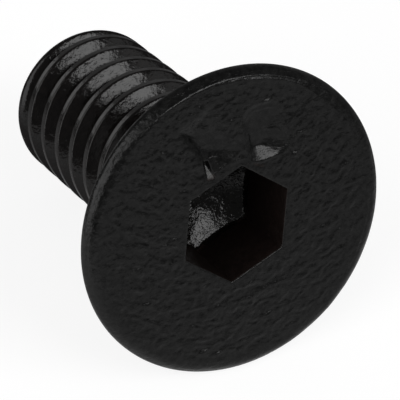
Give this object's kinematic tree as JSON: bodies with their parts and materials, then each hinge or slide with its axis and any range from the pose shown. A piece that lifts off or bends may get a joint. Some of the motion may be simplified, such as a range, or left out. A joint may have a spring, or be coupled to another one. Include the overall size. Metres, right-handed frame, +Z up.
{
  "type": "countersunk socket screw",
  "caption": "Short flat-head machine screw with a conical countersunk head, a hexagon key socket in its flush face and a coarse thread up to the head.",
  "frame": {"origin": "middle of the base of the overall box of the lying screw, on the surface it rests on", "axes": "+Z up; +Y along the lying screw from head to tip, with the screw's own axis 14 degrees nose-down from it; +X across the screw"},
  "size_m": [0.0122, 0.0144, 0.0119],
  "materials": {
    "black_oxide": "thick black oxide over alloy steel, matt with a fine wrinkle, glossier on the thread flanks"
  },
  "bodies": {
    "root": {"screw": "black_oxide"}
  },
  "joints": []
}
